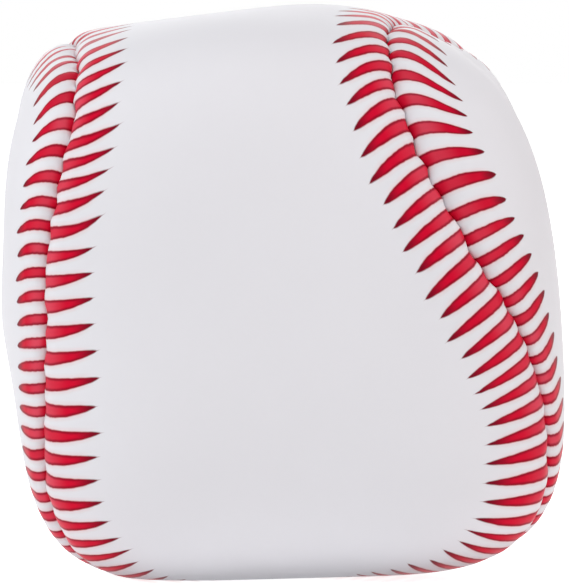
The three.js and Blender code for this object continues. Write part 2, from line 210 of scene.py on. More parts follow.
class SeamSizes(bpy.types.PropertyGroup):
    """The seam and the cover's edges along it."""
    wave: bpy.props.FloatProperty(
        name="Wave", description="Swing of the saddle curve, which sets the panels' waist", default=0.256)
    yaw: angle_prop("Yaw", "Turn of the seam about the upright axis", -1.5)
    pitch: angle_prop("Pitch", "Tip of the seam towards the back", 20)
    roll: angle_prop("Roll", "Tip of the seam to the side", -0.8)
    jog: angle_prop("Jog", "How far single stitches draw the seam aside, seen from the bag's middle", 0.2)
    lobe_centre: angle_prop("Lobe centre", "From a panel's waist to the middle of a lobe", 100)
    vinyl: length_prop("Vinyl", "Thickness of a panel", 0.9)
    ply_gap: length_prop("Ply gap", "Between the two sewn faces", 0.06)
    fold_width: length_prop("Fold width", "Roll of the vinyl beside the seam", 2.4)
    fold_depth: length_prop("Fold depth", "From the panel down to where the plies meet", 1.0)
    allowance: length_prop("Allowance", "Sewn-in edge below the fold", 5.0)
    stitch_line: length_prop("Stitch line", "From the fold down to the stitches", 1.4)
    pucker: length_prop("Pucker", "How far each stitch draws the fold down", 0.22)
    stitches: bpy.props.IntProperty(
        name="Stitches", description="Round the whole seam", default=52)
    hand_stitches: bpy.props.IntProperty(
        name="Hand stitches", description="Of these, the ones that close the filling opening", default=8)
    thread: length_prop("Thread", "Diameter of the sewing thread", 0.36)


class PrintSizes(bpy.types.PropertyGroup):
    """The red marks printed beside the seam."""
    width: length_prop("Width", "Of a mark at the seam", 1.16)
    red: colour_prop("Red", "Ink", (0.64, 0.004, 0.03, 1))
    # painted highlight: lighter, pinker ink on the top of the fold beside the seam
    painted_sheen: colour_prop("Painted sheen", "Ink where the roll along the seam is given a painted highlight", (0.74, 0.10, 0.15, 1))
    # maroon also serves as the painted shade of marks that lie far apart
    maroon: colour_prop("Maroon", "Ink at the rims and tips", (0.15, 0.004, 0.014, 1))
    white: colour_prop("White", "Vinyl", (0.80, 0.795, 0.835, 1))


class PelletSizes(bpy.types.PropertyGroup):
    """The plastic pellets inside."""
    diameter: length_prop("Diameter", "Of a pellet", 2.7)
    spacing: length_prop("Spacing", "Between neighbouring pellets", 3.5)
    jitter: length_prop("Jitter", "How far a pellet lies from its even place", 0.2)
    seed: bpy.props.IntProperty(name="Seed", description="Of the pellets' turns and places", default=7)


class StageSizes(bpy.types.PropertyGroup):
    """Floor, lamps and camera."""
    target: bpy.props.FloatVectorProperty(
        name="Target", description="Point that the camera looks at", size=3, subtype="TRANSLATION",
        default=(0.15 * MM, 0.0, 24.64 * MM))
    elevation: angle_prop("Elevation", "Of the camera above the target", 3)
    distance: bpy.props.FloatProperty(
        name="Distance", description="From the camera to the target", default=0.6, unit="LENGTH")
    pixels_per_mm: bpy.props.FloatProperty(
        name="Scale", description="Image pixels per millimetre at the target", default=11.22)
    floor_size: bpy.props.FloatProperty(
        name="Floor", description="Side of the floor", default=4.0, unit="LENGTH")


def turn_about(axis, angle):
    """Rotation matrix about X, Y or Z."""
    i, j = {"X": (1, 2), "Y": (2, 0), "Z": (0, 1)}[axis]
    matrix = np.eye(3)
    matrix[i, i] = matrix[j, j] = math.cos(angle)
    matrix[i, j] = -math.sin(angle)
    matrix[j, i] = math.sin(angle)
    return matrix


def unit(vectors):
    """The vectors made 1 long."""
    return vectors / np.linalg.norm(vectors, axis=-1, keepdims=True)


def smooth_between(before, first, second, after, t):
    """Smooth curve from the first value to the second, by the values on either side."""
    rise = second - before
    bend = 2 * before - 5 * first + 4 * second - after
    twist = 3 * first - before - 3 * second + after
    return first + (rise * t + bend * t ** 2 + twist * t ** 3) / 2


def along_seam(values, turns, gain=0):
    """Smooth curve through values at equal steps round the seam, which grows by the gain with each turn."""
    values = np.asarray(values)
    count = len(values)
    place = turns * count
    i = np.floor(place).astype(int)
    near = ((i + j) for j in (-1, 0, 1, 2))
    return smooth_between(*(values[j % count] + gain * (j // count) for j in near), place - i)


def print_places(sizes, seam_length, turns, away):
    """Count of marks, share of a mark's reach, pitch and taper, at turns round the seam, away from it."""
    marks = sizes["marks"]
    counted = np.cumsum((sizes["first"], *marks[:-1]))
    steps = len(marks)
    pitch = seam_length / steps / along_seam(marks, turns - 0.5 / steps)
    reach = away / (along_seam(sizes["reach"], turns) * MM)
    bent = along_seam(sizes["lean"], turns) * MM * np.clip(reach, 0, 2) ** LEAN_CURVE
    taper = along_seam(sizes["taper"], turns)
    return along_seam(counted, turns, sum(marks)) - bent / pitch, reach, pitch, taper


class Bag:
    """The bag's surface and seam, worked out from its sizes."""

    def __init__(self, shape, seam):
        self.shape = shape
        self.seam = seam
        self.middle_height = shape.height / 2 - shape.base_flat / 2
        self.seam_turn = turn_about("Z", seam.yaw) @ turn_about("X", seam.pitch)
        self.seam_turn = self.seam_turn @ turn_about("Y", seam.roll)
        self.lean_turn = turn_about("Y", -shape.lean)
        self.shift = np.zeros(3)
        self.columns = seam.stitches * COLUMNS_PER_STITCH
        self.angles = self.equal_steps(self.columns)
        ball = unit(np.random.default_rng(OUTLINE_SEED).normal(size=(OUTLINE_POINTS, 3)))
        outline = self.skin(ball, np.zeros(len(ball)))
        self.shift = -(outline.min(0) + outline.max(0)) / 2 * (1, 1, 0)

    def skin(self, directions, depth):
        """Points in directions from the bag's middle, a depth below the outer face."""
        d = unit(directions)
        half = np.array((self.shape.width, self.shape.depth, self.shape.height)) / 2 - depth[..., None]
        radius = (np.abs(d / half) ** self.shape.boxiness).sum(-1) ** (-1 / self.shape.boxiness)
        for turn, front, spread, height in SWELLS:
            aim = turn_about("Y", math.radians(turn)) @ turn_about("Z", -math.radians(front))
            away = np.degrees(np.arccos(np.clip(d @ (aim @ (1, 0, 0)), -1, 1))) / spread
            radius = radius + height * np.exp(-away ** 2 / 2)
        points = (d * radius[..., None]) @ self.lean_turn.T
        above = (points[..., 2] + self.middle_height - depth) / BASE_ROUNDING
        points[..., 2] = depth + BASE_ROUNDING * np.logaddexp(0, above)
        return points + self.shift

    def saddle(self, u):
        """The ideal seam on a unit sphere."""
        b = self.seam.wave
        a = 1 - b
        rise = 2 * math.sqrt(a * b)
        return np.stack((
            a * np.cos(u) - b * np.cos(3 * u),
            a * np.sin(u) + b * np.sin(3 * u),
            rise * np.cos(2 * u)), -1)

    def equal_steps(self, count):
        """Angles at which equal lengths of the ideal seam begin."""
        u = np.linspace(0, math.tau, SEAM_STEPS + 1)
        lengths = np.append(0, np.linalg.norm(np.diff(self.saddle(u), axis=0), axis=1).cumsum())
        return np.interp(np.arange(count) / count * lengths[-1], lengths, u)

    def drift(self, u, jog):
        """Smooth closed curve through the drift's values, with the jogs of the single stitches."""
        turns = u / math.tau
        return np.radians(along_seam(SEAM_DRIFT, turns)) + jog * ripple(turns * JOG_RATE, JOG_SEED)

    def seam_frame(self, u, jog):
        """The sewn seam's directions from the bag's middle, and the directions across it."""
        small = 1e-4
        ideal = self.saddle(u)
        along = unit(self.saddle(u + small) - self.saddle(u - small))
        across = np.cross(ideal, along)
        turn = self.drift(u, jog)[:, None]
        return ideal * np.cos(turn) + across * np.sin(turn), across * np.cos(turn) - ideal * np.sin(turn)


def mesh_points(mesh):
    """A mesh's points as an array."""
    points = np.empty(len(mesh.vertices) * 3)
    mesh.vertices.foreach_get("co", points)
    return points.reshape(-1, 3)


class PressedCover:
    """How far the filling presses the cover out, by a cloth simulation held at the seam and the base."""

    def __init__(self, bag, scene):
        self.bag = bag
        mesh = bpy.data.meshes.new("cover_cloth")
        ball = bmesh.new()
        bmesh.ops.create_icosphere(ball, subdivisions=CLOTH_FINENESS, radius=1)
        ball.to_mesh(mesh)
        ball.free()
        start = bag.skin(mesh_points(mesh), np.full(len(mesh.vertices), bag.shape.slack))
        mesh.vertices.foreach_set("co", (start * CLOTH_SCALE).ravel())
        item = bpy.data.objects.new("cover_cloth", mesh)
        scene.collection.objects.link(item)
        held = self.held(start)
        group = item.vertex_groups.new(name="held")
        for i, weight in enumerate(held):
            group.add([i], float(weight), "REPLACE")
        self.add_cloth(item)
        for number in range(1, CLOTH_FRAMES + 1):
            scene.frame_set(number)
        simulated = item.evaluated_get(bpy.context.evaluated_depsgraph_get())
        end = mesh_points(simulated.to_mesh()) / CLOTH_SCALE
        bpy.data.objects.remove(item)
        bpy.data.meshes.remove(mesh)
        scene.frame_set(1)
        self.outward = self.from_middle(start)
        moved = ((end - start) * self.outward).sum(-1)
        limit = bag.shape.press_limit
        self.moved = np.clip(moved - moved[held < 0.5].mean(), -limit, limit) * (1 - held)

    def held(self, points):
        """1 on the fold beside the seam and on the flat base, 0 where the cover is free."""
        bag = self.bag
        ring = bag.skin(bag.seam_frame(bag.angles, 0)[0] @ bag.seam_turn.T, np.zeros(bag.columns))
        gap = np.linalg.norm(points[:, None] - ring, axis=-1).min(1)
        at_seam = 1 - np.clip((gap - bag.seam.fold_width) / SEAM_HOLD, 0, 1)
        at_base = 1 - np.clip((points[:, 2] - bag.shape.slack - BASE_HOLD) / BASE_FREE, 0, 1)
        return np.maximum(at_seam, at_base)

    def add_cloth(self, item):
        """Cloth under pressure, without weight."""
        cloth = item.modifiers.new("cloth", "CLOTH")
        cloth.settings.quality = CLOTH_QUALITY
        cloth.settings.use_pressure = True
        cloth.settings.uniform_pressure_force = self.bag.shape.pressure
        cloth.settings.vertex_group_mass = "held"
        cloth.settings.effector_weights.gravity = 0
        cloth.collision_settings.use_collision = False
        cloth.point_cache.frame_start = 1
        cloth.point_cache.frame_end = CLOTH_FRAMES

    def from_middle(self, points):
        """Directions of points from the bag's middle."""
        return unit(points - self.bag.shift - (0, 0, self.bag.middle_height))

    def moves(self, points):
        """Moves of points on the cover."""
        outward = self.from_middle(points)
        flat = outward.reshape(-1, 3)
        sizes = np.empty(len(flat))
        for first in range(0, len(flat), CLOTH_BATCH):
            part = slice(first, first + CLOTH_BATCH)
            near = np.exp((flat[part] @ self.outward.T - 1) / CLOTH_BLUR ** 2)
            sizes[part] = near @ self.moved / near.sum(1)
        return outward * sizes.reshape(*points.shape[:-1], 1)


class Panel:
    """One of the two alike panels, as ribs that run square from the seam to its centre line."""

    def __init__(self, bag, over):
        self.bag = bag
        self.over = over
        k = np.arange(bag.columns)
        self.partner = (bag.columns // 2 - k if over else -k) % bag.columns
        start, across = bag.seam_frame(bag.angles, bag.seam.jog)
        foot = self.feet(bag.angles)
        chord = foot - start
        side = np.sign((across * chord).sum(-1, keepdims=True))
        handle = start + across * side * np.linalg.norm(chord, axis=-1, keepdims=True) / 2
        t = np.linspace(0, 1, RIB_STEPS + 1)[None, :, None]
        path = (1 - t) ** 2 * start[:, None] + 2 * t * (1 - t) * handle[:, None] + t ** 2 * foot[:, None]
        self.directions = unit(path) @ bag.seam_turn.T
        points = bag.skin(self.directions, np.zeros(self.directions.shape[:2]))
        steps = np.linalg.norm(np.diff(points, axis=1), axis=-1)
        self.lengths = np.concatenate((np.zeros((bag.columns, 1)), steps.cumsum(1)), 1)
        self.length = self.lengths[:, -1]
        self.radius = np.linalg.norm(points[:, 0] - bag.shift - (0, 0, bag.middle_height), axis=-1)

    def feet(self, u):
        """Where on the panel's centre line the ribs end."""
        swing = np.sin(u if self.over else math.pi / 2 - u)
        even = np.arcsin(np.clip(swing, -1, 1)) / (math.pi / 2)
        angle = self.bag.seam.lobe_centre * (even + FOOT_SWING * (swing - even))
        zero = np.zeros_like(angle)
        if self.over:
            return np.stack((zero, np.sin(angle), np.cos(angle)), -1)
        return np.stack((np.sin(angle), zero, -np.cos(angle)), -1)

    def square_to_seam(self, distance):
        """Turns round the seam to its nearest part, and the distance from there, for points on the ribs."""
        bag = self.bag
        fine = bag.columns * RING_STEPS
        ring = bag.skin(bag.seam_frame(bag.equal_steps(fine), 0)[0] @ bag.seam_turn.T, np.zeros(fine))
        points = self.place(np.arange(bag.columns), distance, np.zeros_like(distance))
        window = np.arange(-fine // RING_PART, fine // RING_PART)
        turns = np.empty_like(distance)
        nearest = np.empty_like(distance)
        for column in range(bag.columns):
            near = column * RING_STEPS + window
            gaps = np.linalg.norm(points[column, :, None] - ring[near % fine][None], axis=-1)
            turns[column] = near[gaps.argmin(1)] / fine
            nearest[column] = gaps.min(1)
        return turns, nearest

    def place(self, columns, distance, depth):
        """Points on ribs at distances from the seam and depths below the outer face."""
        columns = np.asarray(columns)
        opened = distance * self.radius[columns, None] / (self.radius[columns, None] - depth)
        wanted = np.minimum(opened, self.length[columns, None])
        directions = np.empty(wanted.shape + (3,))
        for row, column in enumerate(columns):
            for axis in range(3):
                directions[row, :, axis] = np.interp(
                    wanted[row], self.lengths[column], self.directions[column, :, axis])
        return self.bag.skin(directions, depth)


def ripple(turns, seed, waves=9):
    """Smooth closed unevenness of size about 1 over a whole turn, the same for the same seed."""
    draw = np.random.default_rng(seed)
    total = np.zeros_like(turns)
    for wave in range(2, 2 + waves):
        total += draw.normal() * np.sin(math.tau * (wave * turns + draw.random()))
    return total / math.sqrt(waves / 2)


class Profile:
    """A panel's section across the seam: distance from the seam, depth and printed distance, per column."""

    def __init__(self, panel, seed):
        bag = panel.bag
        seam = bag.seam
        turns = np.arange(bag.columns) / bag.columns
        pull = np.cos(math.pi * (turns * seam.stitches - HOLE_PLACE)) ** 4
        drawn = seam.pucker * (pull - 0.5)
        fold_width = seam.fold_width * (1 + FOLD_UNEVEN * ripple(turns, seed)) + drawn
        fold_depth = seam.fold_depth * (1 + DIP_UNEVEN * ripple(turns, seed + 1)) + drawn
        face = seam.ply_gap / 2
        back = face + seam.vinyl
        edge = seam.fold_depth + seam.allowance
        self.rows = []
        smooth = face + fold_width
        for share in np.linspace(1, 0, PANEL_ROWS + 1)[1:-1]:
            self.add(smooth + (panel.length - smooth) * share, 0 * smooth)
        for turn in np.linspace(0, math.pi / 2, ROLL_ROWS + 1):
            self.add(face + fold_width * (1 - math.sin(turn)), fold_depth * (1 - math.cos(turn)))
        for share in ALLOWANCE_ROWS:
            self.add(face + 0 * smooth, fold_depth + (edge - fold_depth) * share)
        self.outer_rows = len(self.rows)
        crease = fold_depth + seam.vinyl / 2
        for share in (*reversed(ALLOWANCE_ROWS), 0):
            self.add(back + 0 * smooth, crease + (edge - crease) * share)
        for share in np.linspace(0, 1, PANEL_ROWS // 2 + 1)[:-1]:
            self.add(smooth + (panel.length - smooth) * share, seam.vinyl + 0 * smooth)
        self.distance, self.depth = (np.stack(part, 1) for part in zip(*self.rows))
        self.away = self.printed_distance()

    def add(self, distance, depth):
        """One more row of points, with a value for each column."""
        self.rows.append((distance, depth))

    def printed_distance(self):
        """Along the outer face from where the two plies meet, negative on the sewn face."""
        steps = np.hypot(np.diff(self.distance, axis=1), np.diff(self.depth, axis=1))
        meet = PANEL_ROWS - 1 + ROLL_ROWS
        run = np.concatenate((np.zeros((len(steps), 1)), steps.cumsum(1)), 1)
        return run[:, [meet]] - run


def make_object(name, points, faces, materials):
    """A mesh object in the scene, at the origin."""
    mesh = bpy.data.meshes.new(name)
    mesh.from_pydata(points, [], faces)
    mesh.update()
    for material in materials:
        mesh.materials.append(material)
    piece = bpy.data.objects.new(name, mesh)
    bpy.context.scene.collection.objects.link(piece)
    return piece


def corner_values(values, gain=0):
    """Values at the corners of each face of a closed grid, which grow by the gain past the last column."""
    beside = np.roll(values, -1, 0)
    beside[-1] += gain
    return np.stack((values[:, :-1], beside[:, :-1], beside[:, 1:], values[:, 1:]), -1)


def panel_points(panel, profile):
    """Points of a panel's closed sheet, and their numbers by column and row."""
    bag = panel.bag
    columns = np.arange(bag.columns)
    points = panel.place(columns, profile.distance, profile.depth).reshape(-1, 3)
    spine_columns, spine = np.unique(np.minimum(columns, panel.partner), return_inverse=True)
    ends = panel.directions[spine_columns, -1]
    outer_spine = bag.skin(ends, np.zeros(len(ends)))
    inner_spine = bag.skin(ends, np.full(len(ends), bag.seam.vinyl))
    ribs = np.arange(len(points)).reshape(bag.columns, -1)
    outer = len(points) + spine[:, None]
    grid = np.concatenate((outer, ribs, outer + len(ends)), 1)
    return np.concatenate((points, outer_spine, inner_spine)), grid


def print_grid(panel, profile):
    """Turns round the seam and metres away from it, by column and row of a panel's sheet."""
    turns, nearest = panel.square_to_seam(profile.distance)
    shown = profile.distance < PRINT_REACH
    count = panel.bag.columns
    turns = np.where(shown, turns, np.arange(count)[:, None] / count)
    away = np.where(shown, profile.away + nearest - profile.distance, profile.away)
    return [np.pad(values, ((0, 0), (1, 1)), mode="edge") for values in (turns, away)]


def make_panel(name, panel, pressed, seed, sizes, seam_length, materials):
    """A closed sheet: outer face, fold, allowance and backing, with its printed coordinates as UV."""
    profile = Profile(panel, seed)
    points, grid = panel_points(panel, profile)
    turns, away = print_grid(panel, profile)
    u, v, pitch, taper = print_places(sizes, seam_length, corner_values(turns, 1), corner_values(away))
    quads = corner_values(grid)
    backing = np.broadcast_to(np.arange(quads.shape[1]) >= profile.outer_rows, quads.shape[:2])
    order = slice(None, None, -1 if panel.over else 1)
    points = points + pressed.moves(points)
    piece = make_object(name, points.tolist(), quads.reshape(-1, 4)[:, order].tolist(), materials)
    mesh = piece.data
    uv = mesh.uv_layers.new(name="print")
    flat = np.stack((u, v), -1).reshape(-1, 4, 2)[:, order]
    uv.data.foreach_set("uv", flat.astype(np.float32).ravel())
    for kind, values in (("mark_pitch", pitch), ("mark_taper", taper)):
        layer = mesh.attributes.new(kind, "FLOAT", "CORNER")
        layer.data.foreach_set("value", values.reshape(-1, 4)[:, order].astype(np.float32).ravel())
    mesh.polygons.foreach_set("material_index", backing.ravel().astype(np.int32))
    mesh.polygons.foreach_set("use_smooth", np.ones(len(mesh.polygons), bool))
    mesh.update()
    return piece


class Wire:
    """A node's output in a shader or geometry tree. Sums of wires add the Math nodes that they need."""

    def __init__(self, tree, socket=None):
        self.tree = tree
        self.socket = socket

    def node(self, kind, settings=None, inputs=None, output=0):
        """Add any node: its settings first, then the values or links of its sockets."""
        made = self.tree.nodes.new(kind)
        for name, value in (settings or {}).items():
            setattr(made, name, value)
        for name, value in (inputs or {}).items():
            if isinstance(value, Wire):
                self.tree.links.new(value.socket, made.inputs[name])
            else:
                made.inputs[name].default_value = value
        return Wire(self.tree, made.outputs[output])

    def math(self, operation, *values):
        return self.node("ShaderNodeMath", {"operation": operation}, dict(enumerate(values)))

    def __add__(self, other):
        return self.math("ADD", self, other)

    def __radd__(self, other):
        return self.math("ADD", other, self)

    def __sub__(self, other):
        return self.math("SUBTRACT", self, other)

    def __rsub__(self, other):
        return self.math("SUBTRACT", other, self)

    def __mul__(self, other):
        return self.math("MULTIPLY", self, other)

    def __rmul__(self, other):
        return self.math("MULTIPLY", other, self)

    def __truediv__(self, other):
        return self.math("DIVIDE", self, other)

    def __pow__(self, other):
        return self.math("POWER", self, other)

    def __abs__(self):
        return self.math("ABSOLUTE", self)

    def rise(self, low, high):
        """0 below low, 1 above high, smooth between."""
        return self.node(
            "ShaderNodeMapRange", {"interpolation_type": "SMOOTHSTEP"},
            {"Value": self, "From Min": low, "From Max": high})

    def mix(self, first, second):
        """Colour between two colours, by this wire."""
        return self.node("ShaderNodeMix", {"data_type": "RGBA"}, {0: self, 6: first, 7: second}, 2)

    def noise(self, scale, detail=2.0):
        return self.node("ShaderNodeTexNoise", None, {"Vector": self, "Scale": scale, "Detail": detail})


def new_material(name):
    """A material with a bare tree, its Principled shader and a wire to build on."""
    material = bpy.data.materials.new(name)
    material.use_nodes = True
    shader = material.node_tree.nodes["Principled BSDF"]
    return material, shader, Wire(material.node_tree)


def feed(tree, shader, **inputs):
    """Link wires to a shader's sockets, named with _ for a space."""
    for name, wire in inputs.items():
        tree.links.new(wire.socket, shader.inputs[name.replace("_", " ")])


def make_vinyl(name, sizes, printed):
    """White vinyl with red marks printed square to the seam, by the panel's own print coordinates."""
    material, shader, start = new_material(name)
    place = start.node("ShaderNodeUVMap", {"uv_map": "print"})
    along = start.node("ShaderNodeSeparateXYZ", None, {0: place})
    reach = Wire(start.tree, along.socket.node.outputs[1])
    pitch = start.node("ShaderNodeAttribute", {"attribute_name": "mark_pitch"}, None, "Fac")
    taper = start.node("ShaderNodeAttribute", {"attribute_name": "mark_taper"}, None, "Fac")
    solid = start.node("ShaderNodeTexCoord", None, None, "Object")

    # How far inside a mark's edge a point lies. Chance makes each mark a little shorter or longer
    station = along + 0.5
    cell = station.math("FRACT", station)
    index = station.math("FLOOR", station)
    chance = start.node("ShaderNodeTexWhiteNoise", {"noise_dimensions": "1D"}, {"W": index})
    own_reach = reach.math("MAXIMUM", reach, 0) * (0.95 + 0.1 * chance)
    left = 1 - own_reach.math("MINIMUM", own_reach, 2) ** taper
    spindle = left.math("MAXIMUM", left, 0) ** printed["point"] + left.math("MINIMUM", left, 0)
    half = spindle * (pitch * (1 / EVEN_PITCH)) ** PITCH_SHARE * (printed["broad"] * sizes.width / 2)
    wobble = (solid.noise(900) - 0.5) * (0.10 * MM)
    inside = half - abs(cell - 0.5) * pitch + wobble

    # Ink is darker along its rim and at the tips; where marks lie far apart it is darkened by painted
    # shade, and on the top of the fold it is lightened by a painted highlight
    ink = inside.rise(-0.10 * MM, 0.06 * MM)
    rim = inside.rise(-0.06 * MM, 0.06 * MM) * (1 - inside.rise(0.08 * MM, 0.32 * MM))
    tip = own_reach.rise(0.62, 0.96)
    # painted shade: marks that lie far apart, near the upper corners, are darkened towards maroon
    painted_shade_far = pitch.rise(2.2 * MM, 4.0 * MM)
    dark = rim.math("MAXIMUM", rim.math("MAXIMUM", rim * 0.72, tip * 0.92), painted_shade_far * 0.5)
    # painted highlight: a lighter band on the ink along the top of the fold, where gloss would catch the
    # light
    crest_sheen = own_reach.rise(0.04, 0.2) * (1 - own_reach.rise(0.25, 0.6)) * (0.15 + 0.55 * chance)

    # Vinyl, with a little red in it beside the marks
    cloud = solid.noise(70, 3.0)
    shade = cloud.mix((*(0.97 * c for c in sizes.white[:3]), 1), tuple(sizes.white))
    bleed = inside.rise(-0.5 * MM, 0.0) * (1 - own_reach.rise(0.75, 1.0)) * 0.5
    blush = (0.80, 0.60, 0.62, 1)
    paper = bleed.mix(shade, blush)
    red = crest_sheen.mix(tuple(sizes.red), tuple(sizes.painted_sheen))
    colour = ink.mix(paper, dark.mix(red, tuple(sizes.maroon)))

    # Fine grain, and the vinyl gathered a little at each mark
    rough = 0.36 + 0.08 * solid.noise(300) - 0.06 * ink
    grain = solid.noise(2600, 3.0)
    pores = solid.node("ShaderNodeTexVoronoi", None, {"Vector": solid, "Scale": 1500.0})
    relief = grain * 0.6 + pores * 0.4
    grained = start.node(
        "ShaderNodeBump", None, {"Strength": 0.10, "Distance": 0.03 * MM, "Height": relief})
    gather = along.math("COSINE", along * math.tau) * (1 - reach.rise(0.05, 0.55))
    bump = start.node("ShaderNodeBump", None, {
        "Strength": 0.5, "Distance": 0.12 * MM, "Height": gather, "Normal": grained})
    shader.inputs["Specular IOR Level"].default_value = 0.03
    feed(start.tree, shader, Base_Color=colour, Roughness=rough, Normal=bump)
    return material


def make_backing():
    """Knitted cotton backing on the vinyl's inner face."""
    material, shader, start = new_material("knit_backing")
    solid = start.node("ShaderNodeTexCoord", None, None, "Object")
    wales = start.node("ShaderNodeTexWave", {"bands_direction": "X"}, {"Vector": solid, "Scale": 900.0})
    courses = start.node("ShaderNodeTexWave", {"bands_direction": "Z"}, {"Vector": solid, "Scale": 700.0})
    knit = wales * courses
    colour = knit.mix((0.58, 0.56, 0.52, 1), (0.76, 0.74, 0.70, 1))
    bump = start.node("ShaderNodeBump", None, {"Strength": 0.5, "Distance": 0.1 * MM, "Height": knit})
    rough = 0.85 + 0.1 * solid.noise(400)
    feed(start.tree, shader, Base_Color=colour, Roughness=rough, Normal=bump)
    return material


def make_thread_material():
    """White polyester thread with a slight fibre."""
    material, shader, start = new_material("sewing_thread")
    solid = start.node("ShaderNodeTexCoord", None, None, "Object")
    fibre = solid.noise(4000, 4.0)
    colour = fibre.mix((0.74, 0.72, 0.66, 1), (0.88, 0.87, 0.83, 1))
    bump = start.node("ShaderNodeBump", None, {"Strength": 0.4, "Distance": 0.03 * MM, "Height": fibre})
    rough = 0.55 + 0.2 * fibre
    feed(start.tree, shader, Base_Color=colour, Roughness=rough, Normal=bump)
    return material


def make_pellet_material():
    """Off-white plastic with a soft bloom."""
    material, shader, start = new_material("plastic_pellets")
    solid = start.node("ShaderNodeTexCoord", None, None, "Object")
    cloud = solid.noise(250)
    colour = cloud.mix((0.72, 0.70, 0.62, 1), (0.86, 0.85, 0.80, 1))
    rough = 0.35 + 0.25 * solid.noise(900)
    shader.inputs["Subsurface Weight"].default_value = 0.1
    feed(start.tree, shader, Base_Color=colour, Roughness=rough)
    return material


def node_tree(name, inputs):
    """A geometry tree with a Geometry input and output and the named inputs."""
    tree = bpy.data.node_groups.new(name, "GeometryNodeTree")
    tree.interface.new_socket("Geometry", in_out="INPUT", socket_type="NodeSocketGeometry")
    tree.interface.new_socket("Geometry", in_out="OUTPUT", socket_type="NodeSocketGeometry")
    for label, kind in inputs:
        tree.interface.new_socket(label, in_out="INPUT", socket_type=kind)
    source = tree.nodes.new("NodeGroupInput")
    return tree, {socket.name: Wire(tree, socket) for socket in source.outputs if socket.name}


def end_tree(tree, geometry, material):
    """Realize the instances, set the material and close the tree."""
    real = geometry.node("GeometryNodeRealizeInstances", None, {0: geometry})
    dressed = real.node("GeometryNodeSetMaterial", None, {"Geometry": real, "Material": material})
    sink = tree.nodes.new("NodeGroupOutput")
    tree.links.new(dressed.socket, sink.inputs[0])


def grow(piece, tree, values):
    """Run a geometry tree on a piece, and keep the result as its plain mesh."""
    modifier = piece.modifiers.new(tree.name, "NODES")
    modifier.node_group = tree
    for item in tree.interface.items_tree:
        if item.in_out == "INPUT" and item.name in values:
            modifier[item.identifier] = values[item.name]
    bpy.context.view_layer.update()
    shown = piece.evaluated_get(bpy.context.evaluated_depsgraph_get())
    mesh = bpy.data.meshes.new_from_object(shown)
    piece.modifiers.clear()
    old = piece.data
    piece.data = mesh
    bpy.data.meshes.remove(old)
    mesh.name = piece.name


def thread_tree(material):
    """A twisted three-ply thread along a path of edges."""
    tree, wires = node_tree("twisted_thread", (
        ("Diameter", "NodeSocketFloat"), ("Twist", "NodeSocketFloat")))
    path = wires["Geometry"].node("GeometryNodeMeshToCurve", None, {0: wires["Geometry"]})
    rounded = path.node("GeometryNodeFilletCurve", None, {
        "Curve": path, "Radius": wires["Diameter"] * 0.8, "Limit Radius": True})
    even = rounded.node("GeometryNodeResampleCurve", None, {"Curve": rounded, "Count": THREAD_POINTS})
    run = even.node("GeometryNodeSplineParameter", None, None, "Length")
    twisted = even.node("GeometryNodeSetCurveTilt", None, {"Curve": even, "Tilt": run * wires["Twist"]})
    ply = even.node("GeometryNodeCurveStar", None, {
        "Points": 3, "Inner Radius": wires["Diameter"] * 0.36, "Outer Radius": wires["Diameter"] * 0.5})
    body = even.node("GeometryNodeCurveToMesh", None, {
        "Curve": twisted, "Profile Curve": ply, "Fill Caps": True})
    end_tree(tree, body, material)
    return tree


def pellet_tree(material):
    """Short turned cylinders, one at each point."""
    tree, wires = node_tree("loose_pellets", (
        ("Diameter", "NodeSocketFloat"), ("Jitter", "NodeSocketFloat"), ("Seed", "NodeSocketInt")))
    points = wires["Geometry"]
    vector = {"data_type": "FLOAT_VECTOR"}
    low = points.node("ShaderNodeCombineXYZ", None, {i: wires["Jitter"] * -1 for i in range(3)})
    high = points.node("ShaderNodeCombineXYZ", None, {i: wires["Jitter"] for i in range(3)})
    stray = points.node("FunctionNodeRandomValue", vector, {0: low, 1: high, "Seed": wires["Seed"]})
    strewn = points.node("GeometryNodeSetPosition", None, {"Geometry": points, "Offset": stray})
    turn = points.node(
        "FunctionNodeRandomValue", vector,
        {0: (0, 0, 0), 1: (math.tau, math.tau, math.tau), "Seed": wires["Seed"] + 1})
    pellet = points.node("GeometryNodeMeshCylinder", None, {
        "Vertices": PELLET_SIDES, "Radius": wires["Diameter"] * 0.5,
        "Depth": wires["Diameter"] * PELLET_LENGTH})
    placed = strewn.node(
        "GeometryNodeInstanceOnPoints", None, {"Points": strewn, "Instance": pellet, "Rotation": turn})
    end_tree(tree, placed, material)
    return tree


def hole_columns(seam):
    """Columns of the hand-sewn holes and of the machine-sewn holes, in sewing order."""
    holes = np.arange(seam.stitches) * COLUMNS_PER_STITCH + round(COLUMNS_PER_STITCH * HOLE_PLACE)
    first = round(seam.stitches / 4 - seam.hand_stitches / 2)
    order = np.roll(holes, -first)
    return order[:seam.hand_stitches], order[seam.hand_stitches:]


